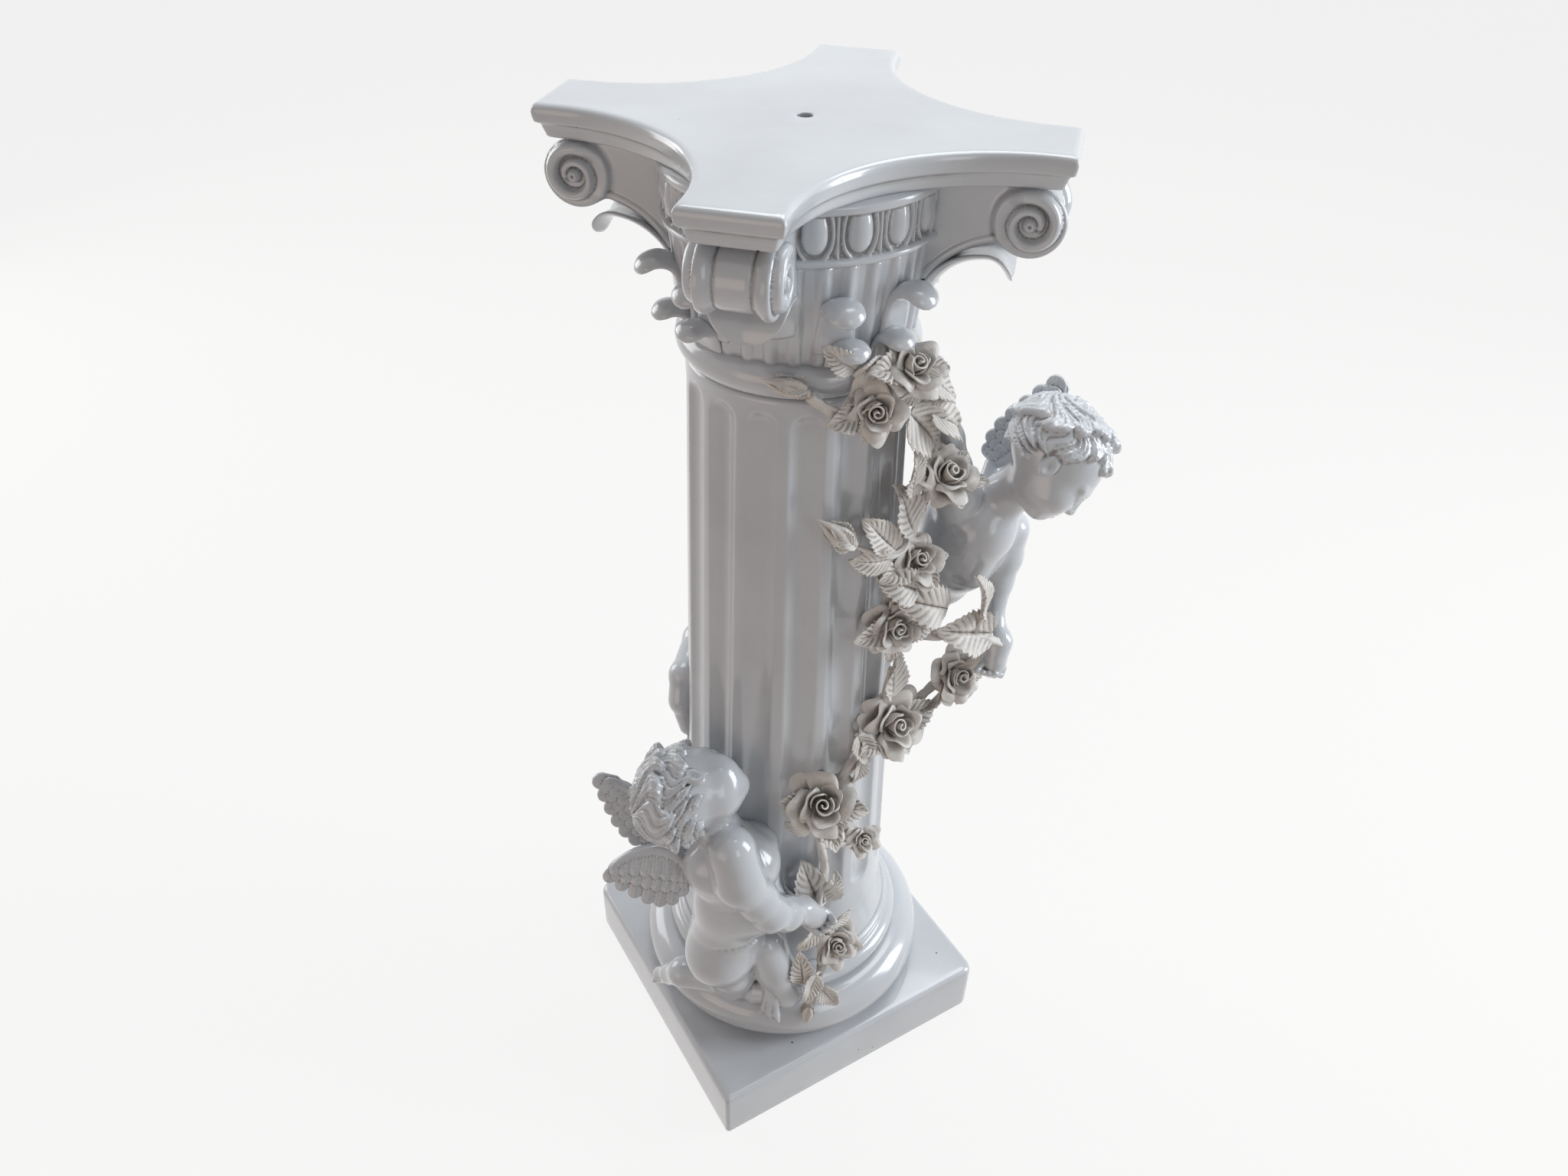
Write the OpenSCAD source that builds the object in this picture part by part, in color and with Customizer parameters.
// Pedestal column stand: a glazed ceramic column on a square plinth, with a composite
// capital, two winged putti and a garland of hand-built roses.
// Millimetres, +Z up, origin at the middle of the plinth's underside, front towards -Y.

/* [Plinth] */
// Width and depth of the square plinth
plinth_w = 304; // [260:1:360]
// Height of the plinth
plinth_h = 61; // [40:1:90]
// Radius of three of the plinth's upright corners
plinth_corner_r = 12; // [6:1:24]
// Radius of the sharper corner at the front left
plinth_sharp_r = 4; // [2:0.5:8]
// Wall of every hollow casting
cast_wall = 10; // [7:1:13]

/* [Base mouldings] */
// Outer radius of the large torus
big_torus_r = 145; // [136:1:148]
// Height of the large torus
big_torus_h = 48; // [36:1:56]
// Outer radius of the small torus
small_torus_r = 120; // [114:1:126]
// Height of the small torus
small_torus_h = 19; // [12:1:26]
// Outer radius of the fillet above the small torus
fillet_r = 110; // [107:1:113]
// Height of the fillet above the small torus
fillet_h = 13; // [8:1:18]

/* [Shaft] */
// Height of the shaft
shaft_h = 624; // [540:1:720]
// Radius of the shaft above its flared foot
shaft_foot_r = 100; // [95:0.5:103]
// Radius of the shaft under the neck
shaft_top_r = 85; // [81:0.5:89]
// Radius of the flared foot where it meets the mouldings
flare_r = 106; // [104:1:107]
// Height of the flared foot
flare_h = 60; // [40:1:90]
// Number of flutes
flute_n = 16; // [12:1:20]
// Radius of the gouge that a flute is cut with
flute_r = 17; // [14:0.5:20]
// Depth of a flute
flute_depth = 5.5; // [3:0.5:6.5]
// Height of the plain band below the flutes
flute_foot = 92; // [76:1:120]
// Height of the plain band above the flutes
flute_head = 24; // [20:1:40]

/* [Capital] */
// Outer radius of the rounded neck collar
collar_r = 92; // [90:0.5:96]
// Height of the neck collar
collar_h = 28; // [20:1:34]
// Radius of the bell above the collar
bell_foot_r = 85; // [83:0.5:88]
// Radius of the bell under the egg ring
bell_top_r = 93; // [90:0.5:96]
// Height of the bell
bell_h = 74; // [60:1:90]
// Number of upright reeds round the bell
reed_n = 32; // [24:4:40]
// Radius of the egg ring's core
egg_ring_r = 94; // [90:0.5:98]
// Height of the egg ring
egg_ring_h = 43; // [34:1:50]
// Number of eggs round the ring
egg_n = 20; // [16:1:24]
// Width of one egg
egg_w = 21; // [16:0.5:22]

/* [Abacus] */
// Height of the abacus plate
abacus_h = 24; // [18:1:32]
// Distance from the axis to the end face of an arm, along the diagonal
arm_reach = 183; // [176:1:190]
// Width of an arm's end face
arm_w = 69; // [60:1:78]
// Distance from the axis to the hollow of a concave side
abacus_waist = 103; // [98:1:108]
// How far the edge faces lean in from top to bottom
abacus_lean = 7; // [3:0.5:9]
// Diameter of the hole through the middle of the top
top_hole_d = 11; // [8:0.5:16]

/* [Volutes] */
// Radius of a volute's scroll
volute_r = 24; // [22:0.5:27]
// Width of a volute across its scroll ends
volute_w = 62; // [54:1:70]
// Distance from the axis to a scroll's centre, along the diagonal
volute_reach = 158; // [152:1:164]
// Width of the stem that carries a scroll
volute_stem_w = 40; // [34:1:46]
// How far the scroll's ridge stands proud
volute_ridge = 3; // [2:0.5:4]

/* [Leaves of the capital] */
// Width of a leaf tip
tip_w = 26; // [20:1:28]
// Thickness of a leaf tip
tip_t = 10; // [7:0.5:12]
// Length of an upper leaf along its curve
upper_tip_l = 66; // [60:1:72]
// Length of a lower leaf along its curve
lower_tip_l = 38; // [32:1:44]
// Length of a corner leaf along its curve
corner_leaf_l = 96; // [90:1:104]
// Width of a corner leaf
corner_leaf_w = 52; // [44:1:58]

/* [Putti] */
// Height of the kneeling putto, from its knees to its crown
kneeling_h = 330; // [310:1:340]
// Height that the flying putto would stand
flying_h = 330; // [316:1:336]
// Thickness of a wing
wing_t = 6; // [4:0.5:8]
// Length of the kneeling putto's spread wing
spread_wing_l = 78; // [70:1:86]
// Length of every raised wing
raised_wing_l = 98; // [88:1:104]

/* [Garland] */
// Radius of the garland's stem
stem_r = 4; // [3:0.25:5]
// How far the held loop of the garland stands out from the shaft
loop_out = 100; // [94:1:104]
// Diameter of the largest rose
rose_d = 60; // [50:1:64]
// Thickness of a petal at its root
petal_t = 1.8; // [1.4:0.1:2.2]
// Length of the longest rose leaf
leaf_l = 50; // [40:1:56]
// Thickness of a rose leaf
leaf_t = 2; // [1.6:0.1:2.4]

/* [Hidden] */

glaze_colour = "#e9ecee";
bisque_colour = "#cfc6bb";

// Gap left at a curved seat, for the luting slip
seat_gap = 0.3;
// Overrun of every cut past the face that it goes through
over = 1;

// Heights of the joints between the castings
base_z = plinth_h;
small_torus_z = base_z + big_torus_h;
fillet_z = small_torus_z + small_torus_h;
shaft_z = fillet_z + fillet_h;
collar_z = shaft_z + shaft_h;
bell_z = collar_z + collar_h;
egg_ring_z = bell_z + bell_h;
abacus_z = egg_ring_z + egg_ring_h;

// Hollow inside the castings
shaft_bore_r = shaft_top_r - flute_depth - cast_wall;
base_bore_r = shaft_foot_r - cast_wall;

// Outline share table of the flared foot: height share, width share
flare_shares = [[0, 1], [0.12, 0.72], [0.3, 0.42], [0.55, 0.16], [0.8, 0.04], [1, 0]];
// The eyes of the first flute and the first egg, turned from the front
flute_turn = -93.75;
egg_turn = -99;

// How far a reed stands out of the bell, and the radius of a reed
reed_proud = 2;
reed_r = 6;
// Egg ring: height of its bottom ridge and of its top roll, and how far each stands out
egg_ridge_h = 7;
egg_ridge_out = 6;
egg_roll_h = 9;
egg_roll_out = 7;

// Radius of the shaft's face at a height
function shaft_face_r(z) =
    shaft_foot_r + (shaft_top_r - shaft_foot_r) * (z - shaft_z) / shaft_h;
// Height on the shaft for a share of its length
function shaft_height(share) = shaft_z + share * shaft_h;
// Point at an angle round the axis, a radius and a height
function around(angle, r, z) = [r * cos(angle), r * sin(angle), z];

// Solid of the shaft without its flutes, grown by a clearance
module shaft_envelope(grow) {
    rotate_extrude($fn = 96)
        polygon(concat(
            [[0, shaft_z - grow]],
            [for (s = flare_shares)
                let (z = shaft_z + s[0] * flare_h)
                [shaft_face_r(z) + s[1] * (flare_r - shaft_foot_r) + grow, z]],
            [[shaft_top_r + grow, collar_z + grow], [0, collar_z + grow]]
        ));
}

// Half outline of a torus ring with a flat inner core
module ring_outline(inner_r, outer_r, z, h) {
    translate([outer_r - h / 2, z + h / 2]) circle(r = h / 2, $fn = 48);
    translate([inner_r, z]) square([outer_r - h / 2 - inner_r, h]);
}

// Solid of the plinth and mouldings, grown by a clearance
module base_envelope(grow) {
    rotate_extrude($fn = 96) {
        translate([big_torus_r - big_torus_h / 2, base_z + big_torus_h / 2])
            circle(r = big_torus_h / 2 + grow, $fn = 48);
        translate([0, base_z]) square([big_torus_r - big_torus_h / 2, big_torus_h + grow]);
        translate([small_torus_r - small_torus_h / 2, small_torus_z + small_torus_h / 2])
            circle(r = small_torus_h / 2 + grow, $fn = 32);
        translate([0, small_torus_z])
            square([small_torus_r - small_torus_h / 2, small_torus_h + grow]);
        translate([0, fillet_z]) square([fillet_r + grow, fillet_h + grow]);
    }
}

// Solid of the neck collar, grown by a clearance
module collar_envelope(grow) {
    rotate_extrude($fn = 96) {
        translate([collar_r - collar_h / 2, collar_z + collar_h / 2])
            circle(r = collar_h / 2 + grow, $fn = 48);
        translate([0, collar_z]) square([collar_r - collar_h / 2, collar_h]);
    }
}

// Solid of the bell and its reeds, grown by a clearance
module bell_envelope(grow) {
    translate([0, 0, bell_z])
        cylinder(h = bell_h, r1 = bell_foot_r + reed_proud + grow,
                 r2 = bell_top_r + reed_proud + grow, $fn = 96);
}

// Everything that a putto or the garland leans on
module column_envelope(grow) {
    shaft_envelope(grow);
    base_envelope(grow);
    collar_envelope(grow);
    bell_envelope(grow);
}

// Square plinth: a hollow slab, closed underneath, open to the mouldings above
module plinth_outline(w, r, sharp_r) {
    difference() {
        square(w, center = true);
        for (x = [-1, 1], y = [-1, 1]) {
            corner_r = x + y == -2 ? sharp_r : r;
            translate([x * (w / 2 - corner_r), y * (w / 2 - corner_r)])
                difference() {
                    translate([x * w / 2, y * w / 2]) square(w, center = true);
                    circle(r = corner_r, $fn = 48);
                }
        }
    }
}

module plinth() {
    color(glaze_colour) difference() {
        linear_extrude(plinth_h) plinth_outline(plinth_w, plinth_corner_r, plinth_sharp_r);
        translate([0, 0, cast_wall])
            linear_extrude(plinth_h - 2 * cast_wall)
                square(plinth_w - 2 * cast_wall, center = true);
        translate([0, 0, plinth_h - cast_wall - over])
            cylinder(h = cast_wall + 2 * over, r = base_bore_r, $fn = 96);
    }
}

module base_mouldings() {
    color(glaze_colour) rotate_extrude($fn = 96) {
        ring_outline(base_bore_r, big_torus_r, base_z, big_torus_h);
        ring_outline(base_bore_r, small_torus_r, small_torus_z, small_torus_h);
        translate([base_bore_r, fillet_z]) square([fillet_r - base_bore_r, fillet_h]);
    }
}

// Gouge for one flute, leaning with the shaft's taper, with round ends
module flute_gouge() {
    low_z = shaft_z + flute_foot;
    high_z = collar_z - flute_head;
    low_r = shaft_face_r(low_z) + flute_r - flute_depth;
    high_r = shaft_face_r(high_z) + flute_r - flute_depth;
    run = high_z - low_z;
    lean = atan2(high_r - low_r, run);
    translate([low_r, 0, low_z]) rotate([0, lean, 0]) {
        cylinder(h = run / cos(lean), r = flute_r, $fn = 32);
        sphere(r = flute_r, $fn = 32);
        translate([0, 0, run / cos(lean)]) sphere(r = flute_r, $fn = 32);
    }
}

module shaft() {
    color(glaze_colour) rotate([0, 0, flute_turn + 180 / flute_n]) difference() {
        shaft_envelope(0);
        // The first flute starts half a pitch away, so the seam runs down a plain land
        for (i = [0 : flute_n - 1])
            rotate([0, 0, (i + 0.5) * 360 / flute_n]) flute_gouge();
        translate([0, 0, shaft_z - over])
            cylinder(h = shaft_h + 2 * over, r = shaft_bore_r, $fn = 96);
        translate([0, 0, collar_z]) cylinder(h = over, r = shaft_top_r + over, $fn = 96);
        translate([0, 0, shaft_z - over]) cylinder(h = over, r = flare_r + over, $fn = 96);
    }
}

module neck_collar() {
    color(glaze_colour) rotate_extrude($fn = 96)
        ring_outline(shaft_bore_r, collar_r, collar_z, collar_h);
}

module capital_bell() {
    lean = atan2(bell_top_r - bell_foot_r, bell_h);
    color(glaze_colour) difference() {
        union() {
            translate([0, 0, bell_z])
                cylinder(h = bell_h, r1 = bell_foot_r, r2 = bell_top_r, $fn = 96);
            intersection() {
                for (i = [0 : reed_n - 1])
                    rotate([0, 0, i * 360 / reed_n])
                        translate([bell_foot_r + reed_proud - reed_r, 0, bell_z])
                            rotate([0, lean, 0])
                                translate([0, 0, -over])
                                    cylinder(h = bell_h / cos(lean) + 2 * over, r = reed_r, $fn = 20);
                translate([0, 0, bell_z]) cylinder(h = bell_h, r = bell_top_r + reed_r, $fn = 96);
            }
        }
        translate([0, 0, bell_z - over])
            cylinder(h = bell_h + 2 * over, r = shaft_bore_r, $fn = 96);
    }
}

// Outline shares of an egg: half-width share, height share
egg_shares = [for (a = [-90 : 22.5 : 90]) [cos(a) * (a < 0 ? 1 : 0.96), sin(a)]];

module egg_ring() {
    egg_h = egg_ring_h - egg_ridge_h - egg_roll_h;
    egg_mid_z = egg_ring_z + egg_ridge_h + egg_h / 2;
    color(glaze_colour) {
        rotate_extrude($fn = 96) {
            translate([shaft_bore_r, egg_ring_z])
                square([egg_ring_r - shaft_bore_r, egg_ring_h]);
            ring_outline(shaft_bore_r, egg_ring_r + egg_ridge_out, egg_ring_z, egg_ridge_h);
            ring_outline(shaft_bore_r, egg_ring_r + egg_roll_out,
                         abacus_z - egg_roll_h, egg_roll_h);
        }
        for (i = [0 : egg_n - 1])
            rotate([0, 0, egg_turn + i * 360 / egg_n]) {
                translate([egg_ring_r - egg_w / 4, 0, egg_mid_z])
                    rotate_extrude($fn = 24)
                        polygon([for (s = egg_shares) [s[0] * egg_w / 2, s[1] * egg_h / 2]]);
                rotate([0, 0, 180 / egg_n])
                    translate([egg_ring_r, 0, egg_mid_z - egg_h / 2])
                        cylinder(h = egg_h, r1 = egg_w / 12, r2 = egg_w / 6, $fn = 16);
            }
    }
}

// Concave sides: a circle through both corners of neighbouring arms and the waist
corner_x = (arm_reach + arm_w / 2) / sqrt(2);
corner_y = (arm_reach - arm_w / 2) / sqrt(2);
side_centre = (corner_x * corner_x + corner_y * corner_y - abacus_waist * abacus_waist)
    / (2 * (corner_x - abacus_waist));
side_r = side_centre - abacus_waist;

module abacus() {
    lean = atan2(abacus_lean, abacus_h);
    color(glaze_colour) difference() {
        translate([0, 0, abacus_z])
            linear_extrude(abacus_h)
                rotate([0, 0, 45]) square(2 * arm_reach, center = true);
        for (a = [0 : 90 : 270])
            rotate([0, 0, a]) {
                // Hollow of a side, wider at the bottom
                translate([side_centre, 0, abacus_z - over])
                    cylinder(h = abacus_h + 2 * over,
                             r1 = side_r + abacus_lean * (1 + over / abacus_h),
                             r2 = side_r - abacus_lean * over / abacus_h, $fn = 96);
                // Leaning end face of an arm
                rotate([0, 0, 45])
                    translate([arm_reach, 0, abacus_z + abacus_h])
                        rotate([0, lean, 0])
                            translate([0, -side_r, -2 * abacus_h])
                                cube([side_r, 2 * side_r, 3 * abacus_h]);
                // Corner of the blank beyond the circle
                translate([side_centre, -side_r, abacus_z - over])
                    cube([side_r, 2 * side_r, abacus_h + 2 * over]);
            }
        translate([0, 0, abacus_z - over])
            cylinder(h = abacus_h + 2 * over, r = top_hole_d / 2, $fn = 48);
    }
}

// Outline of a volute's scroll and stem, seen from the side: x outward, y up
volute_centre_z = abacus_z - volute_r - seat_gap;
stem_curve_r = 2.7 * volute_r;
module volute_stem_outline() {
    top_z = volute_centre_z + volute_r - over;
    difference() {
        translate([shaft_top_r, volute_centre_z - 2 * volute_r])
            square([volute_reach - shaft_top_r, top_z - volute_centre_z + 2 * volute_r]);
        // Hollow curve under the stem
        translate([volute_reach - volute_r / 3, volute_centre_z - volute_r - stem_curve_r * 0.88])
            circle(r = stem_curve_r, $fn = 96);
        translate([volute_reach - volute_r / 3, volute_centre_z - 3 * volute_r])
            square([volute_r, 3 * volute_r]);
    }
}

// Half outline of the scroll roll along its own axis: fullest at its ends
roll_waist_share = 0.86;
module roll_outline() {
    end_w = volute_w / 2 - volute_ridge;
    polygon(concat(
        [[0, -end_w]],
        [for (t = [-1 : 0.25 : 1])
            [volute_r * (roll_waist_share + (1 - roll_waist_share) * t * t), t * end_w]],
        [[0, end_w]]
    ));
}

// Spiral ridge on an end of the roll: it winds in from the rim to the eye
ridge_turns = 1.75;
ridge_steps = 16;
// The ridge starts just inside the rim, as a share of the scroll's radius
ridge_start_share = 0.965;
function ridge_point(i, r_share) =
    let (
        a = 150 - i * 360 / ridge_steps,
        r = volute_r * (r_share - 0.52 * i / ridge_steps)
    )
    [r * cos(a), r * sin(a)];
module ridge_outline() {
    n = ridge_turns * ridge_steps;
    polygon(concat(
        [for (i = [0 : n]) ridge_point(i, ridge_start_share)],
        [for (i = [n : -1 : 0])
            ridge_point(i, ridge_start_share - 0.13 * (1 - 0.5 * i / n))]
    ));
}

module volute(angle) {
    color(glaze_colour) rotate([0, 0, angle]) difference() {
        union() {
            rotate([90, 0, 0])
                translate([0, 0, -volute_stem_w / 2])
                    linear_extrude(volute_stem_w) volute_stem_outline();
            translate([volute_reach, 0, volute_centre_z])
                rotate([90, 0, 0]) {
                    rotate_extrude($fn = 48) roll_outline();
                    for (s = [-1, 1])
                        translate([0, 0, s * (volute_w - 2 * volute_ridge) / 2])
                            linear_extrude(2 * volute_ridge, center = true) ridge_outline();
                }
        }
        rotate([0, 0, -angle]) {
            bell_envelope(seat_gap);
            translate([0, 0, egg_ring_z])
                cylinder(h = egg_ring_h, r = egg_ring_r + egg_roll_out + seat_gap, $fn = 96);
        }
    }
}

// A curved blade that follows a list of slopes, one to each step of its length.
// Its root is at the origin and it runs along +X with its face up.
function blade_path(l, slopes) = [
    for (
        i = 0, p = [0, 0]; i <= len(slopes);
        p = i < len(slopes) ? p + l / len(slopes) * [cos(slopes[i]), sin(slopes[i])] : p,
        i = i + 1
    ) p
];
function steady_slopes(from, to, n) = [for (i = [0 : n - 1]) from + (to - from) * (i + 0.5) / n];
module blade(l, w, t, slopes, width_shares, thick_shares, section) {
    n = len(slopes);
    k = len(section);
    path = blade_path(l, slopes);
    rings = [for (i = [0 : n])
        let (
            a = (slopes[max(i - 1, 0)] + slopes[min(i, n - 1)]) / 2,
            half_w = width_shares[i] * w / 2,
            half_t = thick_shares[i] * t / 2
        )
        for (s = section)
            let (x = s[0] * half_w, y = s[1] * half_t + s[2] * half_w)
            [path[i][0] - sin(a) * y, x, path[i][1] + cos(a) * y]];
    polyhedron(points = rings, faces = concat(
        [for (i = [0 : n - 1], j = [0 : k - 1])
            let (a = k * i + j, b = k * i + (j + 1) % k)
            each [[a, b + k, b], [a, a + k, b + k]]],
        [[for (j = [0 : k - 1]) j]],
        [[for (j = [k - 1 : -1 : 0]) k * n + j]]
    ));
}
// Cross-sections of a blade: across, through its thickness, and dished by its width
round_section = [for (a = [0 : 60 : 300]) [cos(a), sin(a), 0]];
leaf_section = [[-1, 0, -0.3], [0, -1, 0], [1, 0, -0.3], [0, 1, 0]];
petal_section = [[-1, -1, 0.35], [1, -1, 0.35], [1, 1, 0.35], [-1, 1, 0.35]];

// Leaf that climbs the bell and curls over at its tip
module bell_leaf(angle, z, l, w, t, slopes, width_shares, thick_shares) {
    root_r = bell_foot_r + (bell_top_r - bell_foot_r) * (z - bell_z) / bell_h;
    rotate([0, 0, angle]) translate([root_r, 0, z])
        blade(l, w, t, slopes, width_shares, thick_shares, round_section);
}

// Angles of the leaf tips from the middle of each side of the capital
upper_tip_turn = 16;
lower_tip_turn = 11;
upper_tip_slopes = [84, 84, 84, 62, 25, -12, -45];
upper_width_shares = [1.1, 1.1, 1.05, 0.95, 1, 1, 0.86, 0.45];
upper_thick_shares = [0.7, 0.8, 0.95, 1, 1, 1, 0.86, 0.45];
lower_tip_slopes = [84, 62, 25, -10, -42];
lower_width_shares = [1.1, 1, 0.95, 1, 0.86, 0.45];
lower_thick_shares = [0.9, 1, 1, 1, 0.86, 0.45];
corner_slopes = [74, 62, 48, 34, 18, 2, -45, -78];
corner_width_shares = [0.7, 0.75, 0.8, 0.88, 0.95, 1, 0.92, 0.7, 0.3];
corner_thick_shares = [1, 1, 0.9, 0.85, 0.8, 0.75, 0.7, 0.65, 0.4];

module upper_leaf_tips() {
    color(glaze_colour) difference() {
        for (a = [0 : 90 : 270], s = [-1, 1])
            bell_leaf(a + s * upper_tip_turn, bell_z + tip_t, upper_tip_l, tip_w, tip_t,
                      upper_tip_slopes, upper_width_shares, upper_thick_shares);
        bell_envelope(seat_gap);
    }
}

// The pair of lower leaves on one side of the bell
module lower_tip_pair(angle, grow) {
    for (s = [-1, 1])
        bell_leaf(angle + s * lower_tip_turn, bell_z + seat_gap, lower_tip_l + grow,
                  tip_w + 2 * grow, tip_t + 2 * grow,
                  lower_tip_slopes, lower_width_shares, lower_thick_shares);
}

module lower_leaf_tips() {
    color(glaze_colour) difference() {
        for (a = [0 : 90 : 270]) lower_tip_pair(a, 0);
        bell_envelope(seat_gap);
        collar_envelope(seat_gap);
        // Room for the upper leaves beside them
        for (a = [0 : 90 : 270], s = [-1, 1])
            bell_leaf(a + s * upper_tip_turn, bell_z + tip_t, upper_tip_l,
                      tip_w + 2 * seat_gap, tip_t + 2 * seat_gap,
                      upper_tip_slopes, upper_width_shares, upper_thick_shares);
    }
}

module corner_leaves() {
    color(glaze_colour) difference() {
        for (a = [45 : 90 : 315])
            bell_leaf(a, bell_z + corner_leaf_l / 4, corner_leaf_l, corner_leaf_w, tip_t,
                      corner_slopes, corner_width_shares, corner_thick_shares);
        bell_envelope(seat_gap);
        // Room for the volute stem above each leaf
        for (a = [45 : 90 : 315])
            rotate([0, 0, a]) rotate([90, 0, 0])
                linear_extrude(volute_stem_w + 2 * seat_gap, center = true)
                    offset(delta = seat_gap) volute_stem_outline();
    }
}

// Joints of a figure: shares of its height as [out from the shaft, round it, up, radius]
module ball(s, size, grow) {
    translate([s[0], s[1], s[2]] * size) sphere(r = s[3] * size + grow, $fn = 14);
}
module limb(shares, size, grow = 0) {
    for (i = [0 : len(shares) - 2])
        hull() {
            ball(shares[i], size, grow);
            ball(shares[i + 1], size, grow);
        }
}

// Frame of a figure: x out of the shaft, y round it, z up
module figure_frame(angle, z) {
    translate(around(angle, shaft_face_r(z), z)) rotate([0, 0, angle]) children();
}

// Turns children so that their x axis runs from one point to another
module aim(from, to, roll) {
    d = to - from;
    translate(from)
        rotate([roll, -atan2(d[2], norm([d[0], d[1]])), atan2(d[1], d[0])]) children();
}

// Wing: an arched rim over a plate of long feathers and a thicker one of short feathers.
// Shares of its length: x towards the tip, y towards the leading edge.
wing_arch_slopes = [46, 18, -2, -14, -28];
wing_arch_shares = blade_path(1, wing_arch_slopes);
feather_root_shares = [[0.84, 0.06], [0.72, 0.1], [0.58, 0.14], [0.44, 0.14], [0.3, 0.12],
                       [0.18, 0.08], [0.08, 0.02]];
feather_tip_shares = [[0.94, -0.03], [0.8, -0.11], [0.65, -0.18], [0.5, -0.24], [0.36, -0.27],
                      [0.22, -0.26], [0.1, -0.18]];
long_feather_share = 0.083;
short_feather_share = 0.066;
short_reach_share = 0.55;
rim_width_shares = [0.8, 1, 1, 0.9, 0.75, 0.5];
wing_bar_share = 0.022;
// Round end of a feather, as a list of points
function feather_end(i, reach, r) =
    let (
        d = feather_tip_shares[i] - feather_root_shares[i],
        a = atan2(d[1], d[0])
    )
    [for (turn = [51, 17, -17, -51])
        feather_root_shares[i] + reach * d + r * [cos(a + turn), sin(a + turn)]];
module feather_plate(l, t, spread, reach, r, arch_share, grow) {
    linear_extrude(t + 2 * grow, center = true) offset(delta = grow)
        scale([l, l * spread]) polygon(concat(
            wing_arch_shares * arch_share,
            [for (i = [0 : len(feather_tip_shares) - 1]) each feather_end(i, reach, r)]
        ));
}
module wing(l, t, spread, grow) {
    feather_plate(l, t, spread, 1, long_feather_share, 1, grow);
    feather_plate(l, t * 1.6, spread, short_reach_share, short_feather_share, 0.97, grow);
    scale([1, spread, 1]) rotate([-90, 0, 0])
        blade(l, t * 1.8 + 2 * grow, t * 1.8 + 2 * grow, wing_arch_slopes,
              rim_width_shares, rim_width_shares, round_section);
}

// Shape of a whole wing: its bar from the back, and the wing from root to tip
module wing_form(shares, l, spread, roll, size, grow) {
    hull() {
        ball(concat(shares[0], wing_bar_share), size, grow);
        ball(concat(shares[1], wing_bar_share), size, grow);
    }
    aim(shares[1] * size, shares[2] * size, roll) wing(l, wing_t, spread, grow);
}

// Head: one hull of hair, face and chin, with a small round nose
module head_form(shares, nose_shares, size, grow) {
    hull() for (s = shares) ball(s, size, grow);
    ball(nose_shares, size, grow);
}

// Kneeling putto, on the large torus at the front left
kneeling_angle = -150;
kneeling_z = fillet_z;
kneeling_torso_shares = [[0.08, 0.016, 0.194, 0.106], [0.072, 0.039, 0.385, 0.109],
                         [0.069, 0.04, 0.552, 0.112], [0.075, 0.026, 0.673, 0.055]];
kneeling_head_shares = [[0.132, -0.097, 0.786, 0.144], [0.099, 0.006, 0.856, 0.103],
                        [0.084, 0.051, 0.835, 0.061]];
kneeling_nose_shares = [0.044, 0.059, 0.875, 0.021];
kneeling_right_arm_shares = [[0.13, 0.074, 0.685, 0.067], [0.149, 0.113, 0.583, 0.062],
                             [0.108, 0.18, 0.469, 0.053], [0.003, 0.226, 0.387, 0.038],
                             [-0.03, 0.254, 0.327, 0.033]];
kneeling_left_arm_shares = [[-0.013, 0.072, 0.568, 0.055], [-0.013, 0.112, 0.359, 0.039],
                            [-0.054, 0.214, 0.272, 0.027]];
kneeling_right_leg_shares = [[0.09, 0.021, 0.152, 0.085], [0.081, 0.037, 0.009, 0.061],
                             [0.131, -0.101, 0, 0.039], [0.12, -0.168, -0.079, 0.033]];
kneeling_left_leg_shares = [[0.024, 0.119, 0.17, 0.067], [0.025, 0.195, 0, 0.052],
                            [0.058, 0.106, -0.03, 0.039]];
knee_drape_shares = [[0.056, 0.114, 0.1, 0.015], [0.065, 0.179, 0.006, 0.021],
                     [0.098, 0.188, -0.048, 0.014]];
// Points of each wing: in the back, at the wing's root, at its tip
kneeling_right_wing_shares = [[0.11, -0.02, 0.5], [0.131, -0.06, 0.508], [0.253, -0.255, 0.506]];
kneeling_left_wing_shares = [[0.05, -0.02, 0.5], [0.085, -0.175, 0.521], [0.156, -0.334, 0.768]];
kneeling_right_wing_spread = 1.25;
kneeling_left_wing_spread = 0.65;
kneeling_right_wing_roll = 128;
kneeling_left_wing_roll = 120;

module kneeling_frame() { figure_frame(kneeling_angle, kneeling_z) children(); }
module kneeling_form(shares, grow) { kneeling_frame() limb(shares, kneeling_h, grow); }
module kneeling_head_form(grow) {
    kneeling_frame() head_form(kneeling_head_shares, kneeling_nose_shares, kneeling_h, grow);
}
module kneeling_right_wing_form(grow) {
    kneeling_frame() wing_form(kneeling_right_wing_shares, spread_wing_l,
                               kneeling_right_wing_spread, kneeling_right_wing_roll,
                               kneeling_h, grow);
}

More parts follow.
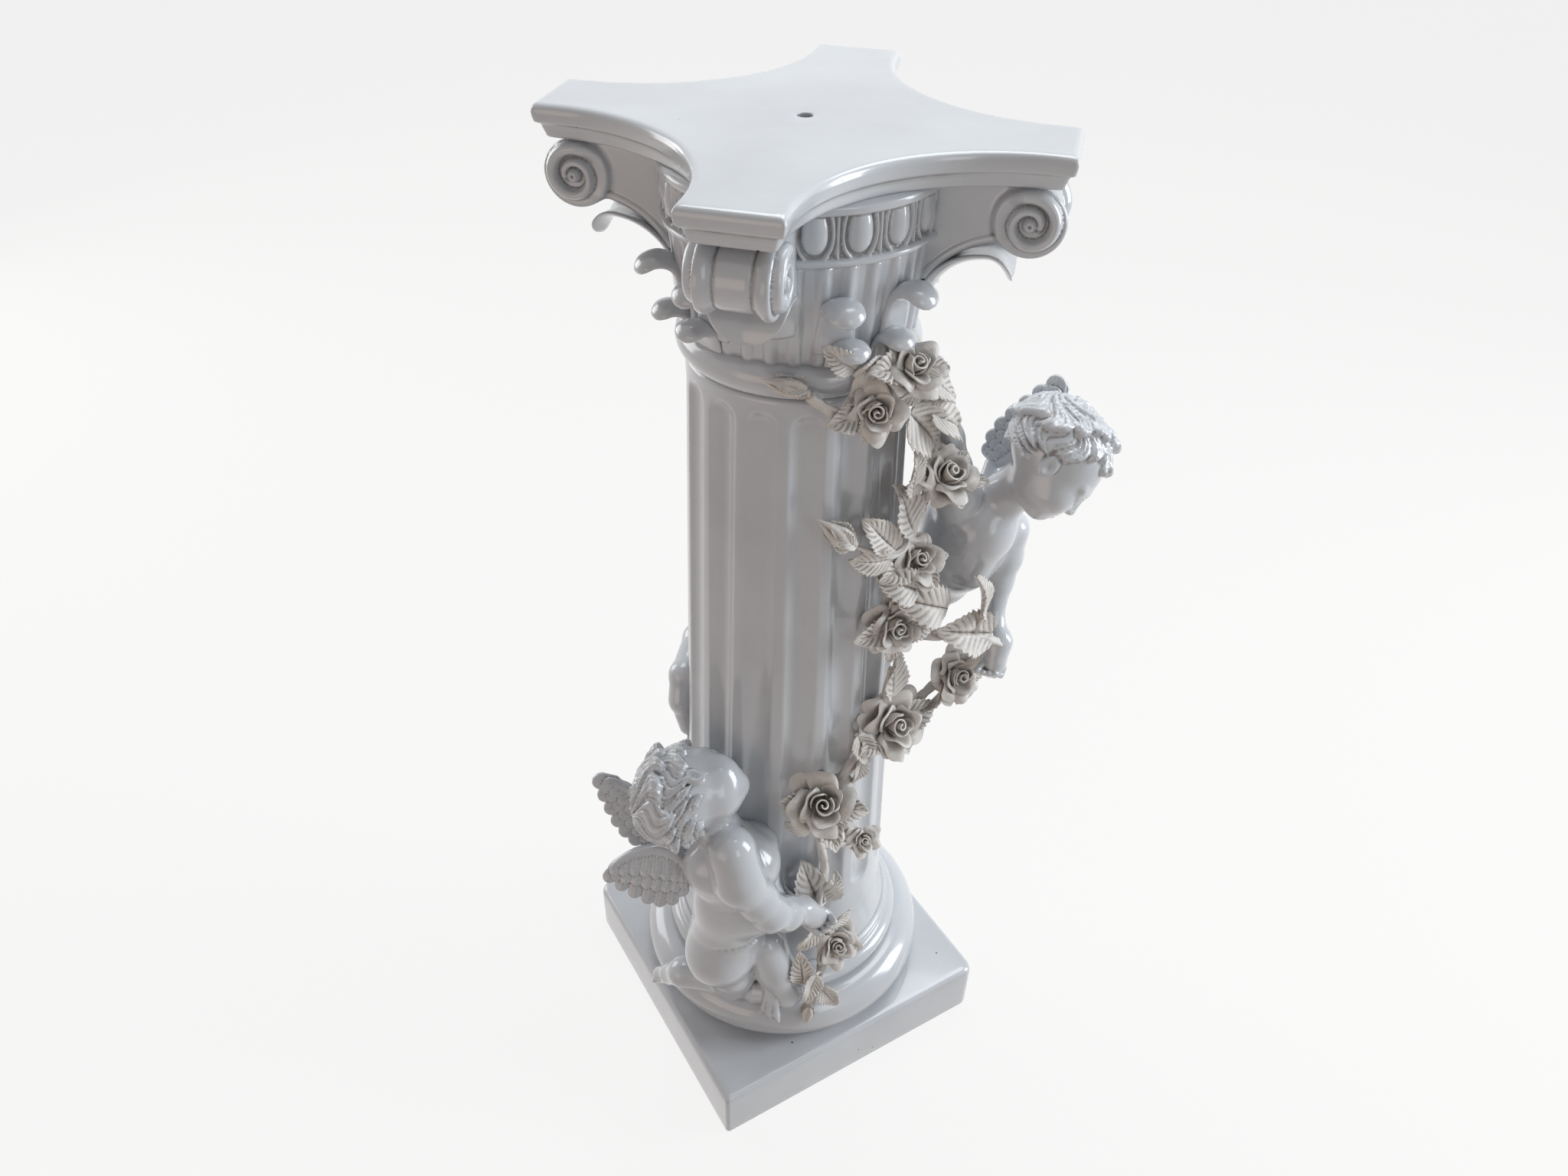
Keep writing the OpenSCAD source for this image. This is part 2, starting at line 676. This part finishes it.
module kneeling_putto_torso() {
    color(glaze_colour) difference() {
        kneeling_form(kneeling_torso_shares, 0);
        column_envelope(seat_gap);
    }
}
module kneeling_putto_head() {
    color(glaze_colour) difference() {
        kneeling_head_form(0);
        kneeling_form(kneeling_torso_shares, seat_gap);
        column_envelope(seat_gap);
    }
}
module kneeling_limb(shares) {
    color(glaze_colour) difference() {
        kneeling_form(shares, 0);
        kneeling_form(kneeling_torso_shares, seat_gap);
        kneeling_head_form(seat_gap);
        column_envelope(seat_gap);
        stem_form(seat_gap);
    }
}
module kneeling_putto_right_arm() { kneeling_limb(kneeling_right_arm_shares); }
module kneeling_putto_left_arm() {
    difference() {
        kneeling_limb(kneeling_left_arm_shares);
        kneeling_form(kneeling_right_arm_shares, seat_gap);
    }
}
module kneeling_putto_right_leg() { kneeling_limb(kneeling_right_leg_shares); }
module kneeling_putto_left_leg() {
    difference() {
        kneeling_limb(kneeling_left_leg_shares);
        kneeling_form(kneeling_right_leg_shares, seat_gap);
    }
}
module kneeling_putto_right_wing() {
    color(glaze_colour) difference() {
        kneeling_right_wing_form(0);
        kneeling_form(kneeling_torso_shares, seat_gap);
        kneeling_form(kneeling_right_arm_shares, seat_gap);
        kneeling_head_form(seat_gap);
        column_envelope(seat_gap);
    }
}
module kneeling_putto_left_wing() {
    color(glaze_colour) difference() {
        kneeling_frame() wing_form(kneeling_left_wing_shares, raised_wing_l,
                                   kneeling_left_wing_spread, kneeling_left_wing_roll,
                                   kneeling_h, 0);
        kneeling_right_wing_form(seat_gap);
        kneeling_form(kneeling_torso_shares, seat_gap);
        kneeling_head_form(seat_gap);
        column_envelope(seat_gap);
    }
}
module knee_drape() {
    color(glaze_colour) difference() {
        kneeling_form(knee_drape_shares, 0);
        kneeling_form(kneeling_torso_shares, seat_gap);
        kneeling_form(kneeling_right_leg_shares, seat_gap);
        kneeling_form(kneeling_left_leg_shares, seat_gap);
        column_envelope(seat_gap);
    }
}

// Flying putto, on the right of the shaft, leaning out with its legs round the back
flying_angle = -30;
flying_z = shaft_height(0.735);
flying_torso_shares = [[0.03, 0.173, -0.278, 0.097], [0.117, 0.069, -0.178, 0.1],
                       [0.178, 0.013, -0.02, 0.109], [0.251, -0.018, 0.113, 0.058]];
flying_head_shares = [[0.354, -0.076, 0.283, 0.133], [0.303, -0.105, 0.205, 0.103],
                      [0.293, -0.139, 0.171, 0.055]];
flying_nose_shares = [0.347, -0.158, 0.169, 0.018];
flying_right_arm_shares = [[0.129, -0.031, 0.097, 0.058], [0.082, -0.049, 0.293, 0.042],
                           [0.029, -0.081, 0.481, 0.03]];
flying_left_arm_shares = [[0.286, 0.039, -0.048, 0.052], [0.27, 0.009, -0.146, 0.044],
                          [0.258, -0.045, -0.257, 0.027], [0.282, -0.101, -0.298, 0.036],
                          [0.264, -0.129, -0.362, 0.027]];
flying_right_leg_shares = [[-0.034, 0.199, -0.35, 0.073], [-0.231, 0.393, -0.544, 0.055],
                           [-0.496, 0.282, -0.599, 0.036], [-0.573, 0.21, -0.69, 0.029]];
flying_left_leg_shares = [[-0.043, 0.25, -0.296, 0.073], [-0.342, 0.392, -0.46, 0.055],
                          [-0.533, 0.177, -0.52, 0.038], [-0.567, 0.031, -0.532, 0.036],
                          [-0.571, 0.001, -0.62, 0.044], [-0.556, -0.001, -0.708, 0.03]];
flying_right_wing_shares = [[0.21, 0.03, 0.06], [0.233, 0.082, 0.138], [0.356, 0.035, 0.401]];
flying_left_wing_shares = [[0.17, 0.06, -0.03], [0.258, 0.147, 0.094], [0.383, 0.1, 0.358]];
flying_wing_spread = 0.5;
flying_wing_roll = -96;

module flying_frame() { figure_frame(flying_angle, flying_z) children(); }
module flying_form(shares, grow) { flying_frame() limb(shares, flying_h, grow); }
module flying_head_form(grow) {
    flying_frame() head_form(flying_head_shares, flying_nose_shares, flying_h, grow);
}
module flying_wing_form(shares, grow) {
    flying_frame() wing_form(shares, raised_wing_l, flying_wing_spread, flying_wing_roll,
                             flying_h, grow);
}

module flying_putto_torso() {
    color(glaze_colour) difference() {
        flying_form(flying_torso_shares, 0);
        column_envelope(seat_gap);
    }
}
module flying_putto_head() {
    color(glaze_colour) difference() {
        flying_head_form(0);
        flying_form(flying_torso_shares, seat_gap);
    }
}
module flying_limb(shares) {
    color(glaze_colour) difference() {
        flying_form(shares, 0);
        flying_form(flying_torso_shares, seat_gap);
        flying_head_form(seat_gap);
        column_envelope(seat_gap);
        stem_form(seat_gap);
    }
}
module flying_putto_right_arm() { flying_limb(flying_right_arm_shares); }
module flying_putto_left_arm() { flying_limb(flying_left_arm_shares); }
module flying_putto_right_leg() { flying_limb(flying_right_leg_shares); }
module flying_putto_left_leg() {
    difference() {
        flying_limb(flying_left_leg_shares);
        flying_form(flying_right_leg_shares, seat_gap);
    }
}
module flying_putto_right_wing() {
    color(glaze_colour) difference() {
        flying_wing_form(flying_right_wing_shares, 0);
        flying_form(flying_torso_shares, seat_gap);
        flying_form(flying_left_arm_shares, seat_gap);
        flying_head_form(seat_gap);
    }
}
module flying_putto_left_wing() {
    color(glaze_colour) difference() {
        flying_wing_form(flying_left_wing_shares, 0);
        flying_wing_form(flying_right_wing_shares, seat_gap);
        flying_form(flying_torso_shares, seat_gap);
        flying_form(flying_left_arm_shares, seat_gap);
        flying_head_form(seat_gap);
    }
}

// Course of the garland's stem, from the neck down to the base.
// Each row: angle round the axis, share of the shaft's height, share of the loop's reach.
stem_course_shares = [
    [-117, 1.02, 0.1], [-108, 1, 0.1], [-98, 0.985, 0.09], [-88, 0.985, 0.09],
    [-78, 0.985, 0.1], [-66, 0.995, 0.12], [-55, 0.99, 0.13], [-50, 0.96, 0.14],
    [-50, 0.9, 0.2], [-54, 0.85, 0.2], [-58, 0.8, 0.15], [-62, 0.755, 0.08],
    [-66, 0.71, 0.05], [-71, 0.66, 0.02], [-64, 0.632, 0.1], [-55, 0.62, 0.35],
    [-47, 0.605, 0.65], [-41, 0.577, 0.89], [-41, 0.54, 0.68], [-41, 0.507, 0.45],
    [-50, 0.487, 0.25], [-60, 0.47, 0.08], [-67, 0.462, 0.02], [-78, 0.44, 0.02],
    [-92, 0.405, 0.02], [-104, 0.365, 0.01], [-104, 0.3, 0.02], [-101, 0.23, 0.05],
    [-106, 0.155, 0.2], [-101, 0.11, 0.16], [-97, 0.06, 0.1], [-104, 0.02, 0.24],
    [-108, -0.02, 0.32], [-110, -0.045, 0.37]
];
function course_point(s) =
    let (z = shaft_height(s[1]))
    around(s[0], shaft_face_r(z) + stem_r + seat_gap + s[2] * loop_out, z);
// Side branches that leave the stem, each in the same kind of rows
branch_course_shares = [
    [[-59, 0.79, 0.13], [-70, 0.78, 0.16], [-80, 0.785, 0.16], [-90, 0.803, 0.13]],
    [[-103, 0.27, 0.02], [-92, 0.262, 0.03], [-83, 0.256, 0.03]],
    [[-88, 0.985, 0.09], [-92, 1.02, 0.12], [-89, 1.045, 0.15]],
    [[-67, 0.462, 0.02], [-67, 0.49, 0], [-66, 0.518, 0.04], [-66, 0.57, 0.085]],
    [[-62, 0.787, 0.15], [-64, 0.815, 0.15], [-66, 0.838, 0.15]]
];
branch_share = 0.75;
// Smooth curve through the course: two points to each stretch
function curve_point(p, i, t) =
    let (
        a = p[max(i - 1, 0)], b = p[i], c = p[i + 1], d = p[min(i + 2, len(p) - 1)]
    )
    0.5 * ((2 * b) + (c - a) * t + (2 * a - 5 * b + 4 * c - d) * t * t
        + (3 * b - a - 3 * c + d) * t * t * t);
function smooth_path(rows) =
    let (p = [for (s = rows) course_point(s)])
    concat([for (i = [0 : len(p) - 2], t = [0, 0.5]) curve_point(p, i, t)], [p[len(p) - 1]]);
stem_path = smooth_path(stem_course_shares);
branch_paths = [for (rows = branch_course_shares) smooth_path(rows)];
function unit(v) = v / norm(v);
module tube(path, r) {
    n = len(path);
    sides = 6;
    rings = [for (i = [0 : n - 1])
        let (
            along = unit(path[min(i + 1, n - 1)] - path[max(i - 1, 0)]),
            out = unit([path[i][0], path[i][1], 0]),
            flat = unit(cross(along, out)),
            up = cross(flat, along)
        )
        for (k = [0 : sides - 1])
            path[i] + r * (cos(k * 360 / sides) * flat + sin(k * 360 / sides) * up)];
    walls = [for (i = [0 : n - 2], k = [0 : sides - 1])
        let (a = sides * i + k, b = sides * i + (k + 1) % sides)
        each [[a, b, b + sides], [a, b + sides, a + sides]]];
    polyhedron(points = rings, faces = concat(
        walls,
        [[for (k = [sides - 1 : -1 : 0]) k]],
        [[for (k = [0 : sides - 1]) sides * (n - 1) + k]]
    ));
}
module stem_form(grow) {
    tube(stem_path, stem_r + grow);
    for (path = branch_paths) tube(path, stem_r * branch_share + grow);
}
module garland_stem() {
    color(bisque_colour) difference() {
        stem_form(0);
        column_envelope(seat_gap);
    }
}

// Short tapered twig from a piece's root to the nearest point of the stem
twig_share = 0.4;
stem_points = concat(stem_path, [for (path = branch_paths) each path]);
function nearest_on_stem(p) =
    let (
        gaps = [for (q = stem_points) norm(q - p)],
        least = min(gaps)
    )
    [for (i = [0 : len(gaps) - 1]) if (gaps[i] == least) stem_points[i]][0];
module twig(p, grow) {
    q = nearest_on_stem(p);
    aim(p, q, 0) rotate([0, 90, 0])
        cylinder(h = norm(q - p), r1 = stem_r * twig_share + grow,
                 r2 = stem_r * 1.2 * twig_share + grow, $fn = 6);
}

// Roses: angle, share of the shaft's height, share of the loop's reach, diameter share,
// upward tilt and sideways turn of its face in degrees
rose_shares = [
    [-90, 0.996, 0.07, 0.7, 15, -25], [-77, 1.035, 0.14, 0.73, 45, -10],
    [-54, 0.86, 0.26, 0.83, 55, -30], [-61, 0.748, 0.11, 0.73, 35, -30],
    [-70, 0.656, 0.05, 0.8, 20, -30], [-40, 0.507, 0.45, 0.83, 30, -50],
    [-65, 0.467, 0.03, 1, 30, -25], [-105, 0.366, 0.01, 1, 45, -5],
    [-79, 0.253, 0, 0.53, 35, -20], [-95, 0.055, 0.08, 0.7, 35, -10]
];
// The spiral wall at a rose's heart: turns, and steps to each turn
rose_turns = 1.6;
rose_steps = 10;
function rose_section(s, angle, d, t) =
    let (
        foot_r = d * (0.04 + 0.06 * s),
        rim_r = d * (0.05 + 0.2 * s),
        rim_z = d * (0.42 - 0.1 * s)
    )
    [for (k = [[foot_r, 0], [rim_r, rim_z], [rim_r + t * 0.7, rim_z], [foot_r + t, 0]])
        [k[0] * cos(angle), k[0] * sin(angle), k[1]]];
// Outer petals: slopes and widths along a petal, where it roots, its size by the rose's
petal_n = 5;
petal_slopes = [48, 34, -8];
petal_width_shares = [0.4, 0.7, 1, 0.6];
petal_thick_shares = [1.2, 1, 0.9, 0.8];
petal_root_share = 0.12;
petal_length_share = 0.46;
petal_breadth_share = 0.52;
petal_roll = 14;
rose_foot_share = 0.16;
module rose_form(d) {
    n = round(rose_turns * rose_steps);
    rings = [for (i = [0 : n]) each rose_section(i / n, i * 360 / rose_steps, d, petal_t)];
    walls = [for (i = [0 : n - 1], k = [0 : 3])
        let (a = 4 * i + k, b = 4 * i + (k + 1) % 4)
        each [[a, a + 4, b + 4], [a, b + 4, b]]];
    last = 4 * n;
    polyhedron(points = rings, faces = concat(
        walls, [[0, 1, 2, 3]], [[last + 3, last + 2, last + 1, last]]
    ));
    for (i = [0 : petal_n - 1])
        rotate([0, 0, i * 360 / petal_n]) translate([petal_root_share * d, 0, petal_t / 2])
            rotate([petal_roll, 0, 0])
                blade(petal_length_share * d, petal_breadth_share * d, petal_t, petal_slopes,
                      petal_width_shares, petal_thick_shares, petal_section);
    cylinder(h = 2 * petal_t, r = rose_foot_share * d, $fn = 12);
}
// Room that a rose takes: radius and height shares of its diameter
rose_room_shares = [[0, -0.02], [0.2, -0.02], [0.54, 0.14], [0.54, 0.36], [0.4, 0.46], [0, 0.5]];
module rose_room(i, grow) {
    d = rose_shares[i][3] * rose_d;
    rose_place(i) rotate_extrude($fn = 24) offset(delta = grow)
        intersection() {
            polygon(rose_room_shares * d);
            translate([grow, -d]) square(2 * d);
        }
}
function rose_root(i) =
    let (s = rose_shares[i], z = shaft_height(s[1]))
    around(s[0], shaft_face_r(z) + 2 * stem_r + 2 * seat_gap + s[2] * loop_out, z);
module rose_place(i) {
    s = rose_shares[i];
    translate(rose_root(i)) rotate([0, 90 - s[4], s[0] + s[5]]) children();
}
// The arms, bodies and leaf tips that the garland lies against
module holding_forms(grow) {
    lower_tip_pair(270, grow);
    flying_form(flying_torso_shares, grow);
    flying_head_form(grow);
    flying_form(flying_right_arm_shares, grow);
    flying_form(flying_left_arm_shares, grow);
    kneeling_form(kneeling_right_arm_shares, grow);
    kneeling_form(kneeling_left_arm_shares, grow);
    kneeling_form(kneeling_left_leg_shares, grow);
}
module rose(i) {
    color(bisque_colour) difference() {
        union() {
            rose_place(i) rose_form(rose_shares[i][3] * rose_d);
            twig(rose_root(i), 0);
        }
        stem_form(seat_gap);
        column_envelope(seat_gap);
        holding_forms(seat_gap);
        // Room for the neighbour above or beside it
        if (i > 0) rose_room(i - 1, seat_gap);
    }
}

// Where a leaf or bud is rooted, and its frame: x along it, z out of the shaft
function garland_root(s) =
    let (z = shaft_height(s[1]))
    around(s[0], shaft_face_r(z) + stem_r + s[2] * loop_out, z);
module garland_place(s) {
    translate(garland_root(s)) rotate([0, 0, s[0]]) rotate([s[3], 0, 0])
        rotate([90, 0, 90]) rotate([0, -s[4], 0]) children();
}

// Buds: angle, share of height, share of reach, turn in the face, outward tilt, length share
bud_shares = [
    [-118, 1.027, 0.1, 170, -11, 0.64], [-96, 0.814, 0.12, 136, -15, 0.77],
    [-110, -0.033, 0.37, -101, 6, 0.56]
];
bud_outline_shares = [[0, 0], [0.1, 0], [0.17, 0.22], [0.19, 0.45], [0.12, 0.75], [0.03, 0.97], [0, 1]];
module bud_form(s) {
    garland_place(s) rotate([0, 90, 0])
        rotate_extrude($fn = 12) polygon(bud_outline_shares * s[5] * leaf_l);
    twig(garland_root(s), 0);
}
module rose_buds() {
    color(bisque_colour) difference() {
        for (s = bud_shares) bud_form(s);
        column_envelope(seat_gap);
        stem_form(seat_gap);
        holding_forms(seat_gap);
        for (i = [0 : len(rose_shares) - 1]) rose_room(i, seat_gap);
    }
}

// Leaves: angle, share of height, share of reach, turn in the face, outward tilt,
// length share, curl and roll in degrees
leaf_top_shares = [
    [-100, 1.051, 0.14, 141, -7, 0.6, -30, 0], [-90, 1.06, 0.17, -156, -6, 0.45, -30, 0],
    [-67, 1.006, 0.21, -149, -34, 0.49, -30, 0], [-67, 1.019, 0.19, -44, 12, 0.93, -40, -30],
    [-63, 0.967, 0.23, -42, 6, 1.1, -40, -30], [-72, 0.975, 0.15, -50, 1, 1.19, -20, 0]
];
leaf_middle_shares = [
    [-70, 0.862, 0.2, 88, 2, 0.76, -25, 3], [-65, 0.797, 0.19, 109, -12, 1.09, -25, 0],
    [-77, 0.792, 0.18, 126, -18, 0.86, -30, 0], [-78, 0.779, 0.16, 169, -22, 0.74, -30, 0],
    [-64, 0.713, 0.27, 143, -29, 0.99, -30, 0], [-54, 0.669, 0.44, 145, -39, 1.16, -40, 0],
    [-46, 0.64, 0.72, 100, -12, 1, -30, 0], [-42, 0.6, 0.8, 146, -45, 1.3, -20, 0],
    [-66, 0.517, 0.1, 86, -1, 1.04, -20, 0], [-48, 0.5, 0.45, -114, -50, 0.79, -30, 0],
    [-83, 0.43, 0.07, -112, -1, 0.54, -20, 0], [-87, 0.484, 0.07, -74, 13, 0.7, -20, 0]
];
leaf_low_shares = [
    [-103, 0.145, 0.08, 106, -10, 1.29, -30, 0], [-109, 0.319, 0.07, 161, -15, 0.51, -30, 0],
    [-99, 0.156, 0.08, 73, -11, 0.68, -40, 0], [-98, 0.1, 0.12, 12, -11, 0.5, -30, 0],
    [-103, 0.114, 0.14, -141, 9, 0.69, -30, 0], [-112, 0.006, 0.28, 96, -15, 0.8, -30, 0],
    [-107, 0.027, 0.3, -114, 16, 0.66, -30, 0], [-105, -0.003, 0.3, -57, 16, 0.65, -30, 0]
];
leaf_breadth_share = 0.5;
leaf_steps = 5;
leaf_width_shares = [0.25, 0.8, 1, 0.9, 0.58, 0.1];
leaf_thick_shares = [1.3, 1.1, 1, 1, 0.9, 0.7];
module garland_leaves(shares) {
    color(bisque_colour) difference() {
        for (s = shares) {
            garland_place(s) rotate([s[7], 0, 0])
                blade(s[5] * leaf_l, s[5] * leaf_l * leaf_breadth_share, leaf_t,
                      steady_slopes(-s[6] / 2, s[6] / 2, leaf_steps),
                      leaf_width_shares, leaf_thick_shares, leaf_section);
            twig(garland_root(s), 0);
        }
        stem_form(seat_gap);
        column_envelope(seat_gap);
        holding_forms(seat_gap);
        for (i = [0 : len(rose_shares) - 1]) {
            rose_room(i, seat_gap);
            twig(rose_root(i), seat_gap);
        }
    }
}

plinth();
base_mouldings();
shaft();
neck_collar();
capital_bell();
egg_ring();
abacus();
volute(-135);  // volute_front_left
volute(-45);  // volute_front_right
volute(45);  // volute_back_right
volute(135);  // volute_back_left
corner_leaves();
upper_leaf_tips();
lower_leaf_tips();
kneeling_putto_torso();
kneeling_putto_head();
kneeling_putto_right_arm();
kneeling_putto_left_arm();
kneeling_putto_right_leg();
kneeling_putto_left_leg();
kneeling_putto_right_wing();
kneeling_putto_left_wing();
knee_drape();
flying_putto_torso();
flying_putto_head();
flying_putto_right_arm();
flying_putto_left_arm();
flying_putto_right_leg();
flying_putto_left_leg();
flying_putto_right_wing();
flying_putto_left_wing();
garland_stem();
rose(0);  // rose_1
rose(1);  // rose_2
rose(2);  // rose_3
rose(3);  // rose_4
rose(4);  // rose_5
rose(5);  // rose_6
rose(6);  // rose_7
rose(7);  // rose_8
rose(8);  // rose_9
rose(9);  // rose_10
rose_buds();
garland_leaves(leaf_top_shares);  // garland_leaves_top
garland_leaves(leaf_middle_shares);  // garland_leaves_middle
garland_leaves(leaf_low_shares);  // garland_leaves_low
